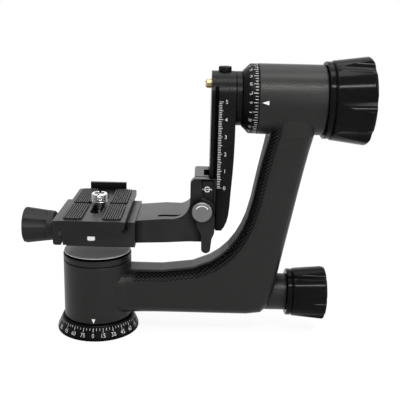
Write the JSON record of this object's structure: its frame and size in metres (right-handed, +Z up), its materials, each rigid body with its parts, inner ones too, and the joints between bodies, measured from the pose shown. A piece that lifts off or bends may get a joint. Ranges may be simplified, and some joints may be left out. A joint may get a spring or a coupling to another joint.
{
  "type": "gimbal tripod head",
  "caption": "L-shaped gimbal tripod head: rotating base with degree dial, carbon arm, tilt housing with fluted knob, sliding rail platform and quick-release clamp with plate.",
  "frame": {"origin": "on the pan axis at the underside of the base", "axes": "+X towards the upright arm, +Y to the back of the head, +Z up along the pan axis"},
  "size_m": [0.2044, 0.0776, 0.1713],
  "materials": {
    "black_metal": "satin black anodised",
    "dial_metal": "satin black anodised with white printed scale",
    "steel": "turned",
    "liner": "turned",
    "carbon": "woven carbon fibre, satin",
    "gloss_black": "glossy black",
    "brass": "turned",
    "black_screw": "black oxide",
    "matte_black": "matte",
    "cap_grey": "satin",
    "rubber": "ribbed",
    "bright": "bright"
  },
  "bodies": {
    "base": {"base_disc": "black_metal", "tripod_insert": "steel", "base_screws": "steel", "pan_dial_ring": "dial_metal", "pan_spindle": "steel", "pan_inner_races": "steel", "pan_nut": "steel"},
    "arm": {"arm_shell": "carbon", "pan_sleeve": "liner", "pan_outer_races": "steel", "pan_balls": "steel", "pan_cap": "black_metal", "pan_lock_boss": "black_metal", "tilt_sleeve": "liner", "tilt_outer_races": "steel", "tilt_balls": "steel"},
    "pan_brake": {"pan_lock_rod": "steel", "pan_brake_shoe": "brass"},
    "pan_knob": {"pan_knob": "gloss_black", "pan_knob_end": "gloss_black"},
    "swing": {"tilt_shaft": "steel", "tilt_inner_races": "steel", "tilt_dial": "dial_metal", "hub_spacer": "black_metal", "rail": "black_metal", "hub_screw": "black_screw", "rail_stop": "brass"},
    "tilt_thrust": {"tilt_washer": "steel"},
    "tilt_knob": {"tilt_knob": "gloss_black", "tilt_knob_end": "gloss_black"},
    "platform": {"bracket": "black_metal", "bracket_screws": "steel", "clamp_base": "black_metal"},
    "rail_lever": {"lever": "black_metal", "lever_cap": "cap_grey", "lever_stud": "steel"},
    "clamp_jaw": {"clamp_jaw": "black_metal", "guide_pins": "steel"},
    "clamp_knob": {"clamp_knob": "matte_black", "clamp_bolt": "steel"},
    "plate": {"plate": "black_metal", "plate_pads": "rubber", "stop_screws": "bright"},
    "camera_screw": {"camera_screw": "bright", "screw_adapter": "bright"}
  },
  "joints": [
    {"name": "pan", "type": "hinge", "parent": "base", "child": "arm", "pos_m": [0, 0, 0], "axis": [0, 0, 1], "continuous": true},
    {"name": "pan_lock", "type": "hinge", "parent": "arm", "child": "pan_knob", "pos_m": [0.1176, 0, 0.02505], "axis": [1, 0, 0], "range_deg": [0, 144]},
    {"name": "pan_brake", "type": "slide", "parent": "arm", "child": "pan_brake", "axis": [-1, 0, 0], "range_m": [0, 0.0003]},
    {"name": "tilt", "type": "hinge", "parent": "arm", "child": "swing", "pos_m": [0.0948, 0, 0.1455], "axis": [1, 0, 0], "continuous": true},
    {"name": "tilt_lock", "type": "hinge", "parent": "arm", "child": "tilt_knob", "pos_m": [0.1337, 0, 0.1455], "axis": [1, 0, 0], "range_deg": [0, 144]},
    {"name": "tilt_thrust", "type": "slide", "parent": "arm", "child": "tilt_thrust", "axis": [-1, 0, 0], "range_m": [0, 0.0003]},
    {"name": "platform_height", "type": "slide", "parent": "swing", "child": "platform", "axis": [0, 0, 1], "range_m": [0, 0.05]},
    {"name": "rail_lever", "type": "hinge", "parent": "platform", "child": "rail_lever", "pos_m": [0.064, 0, 0.0819], "axis": [0, 1, 0], "range_deg": [-90, 0]},
    {"name": "clamp_jaw", "type": "slide", "parent": "platform", "child": "clamp_jaw", "axis": [-1, 0, 0], "range_m": [0, 0.002]},
    {"name": "clamp_screw", "type": "hinge", "parent": "clamp_jaw", "child": "clamp_knob", "pos_m": [-0.0253, 0, 0.0652], "axis": [-1, 0, 0], "range_deg": [0, 720]},
    {"name": "plate_slide", "type": "slide", "parent": "platform", "child": "plate", "axis": [0, 1, 0], "range_m": [-0.001, 0.001]},
    {"name": "screw_slide", "type": "slide", "parent": "plate", "child": "camera_screw", "axis": [0, 1, 0], "range_m": [-0.012, 0.014]}
  ],
  "couplings": [
    {"joint": "pan_brake", "follows": "pan_lock", "m_per_rad": 0.00011937},
    {"joint": "tilt_thrust", "follows": "tilt_lock", "m_per_rad": 0.00011937},
    {"joint": "clamp_screw", "follows": "clamp_jaw", "rad_per_m": 6283.2}
  ]
}
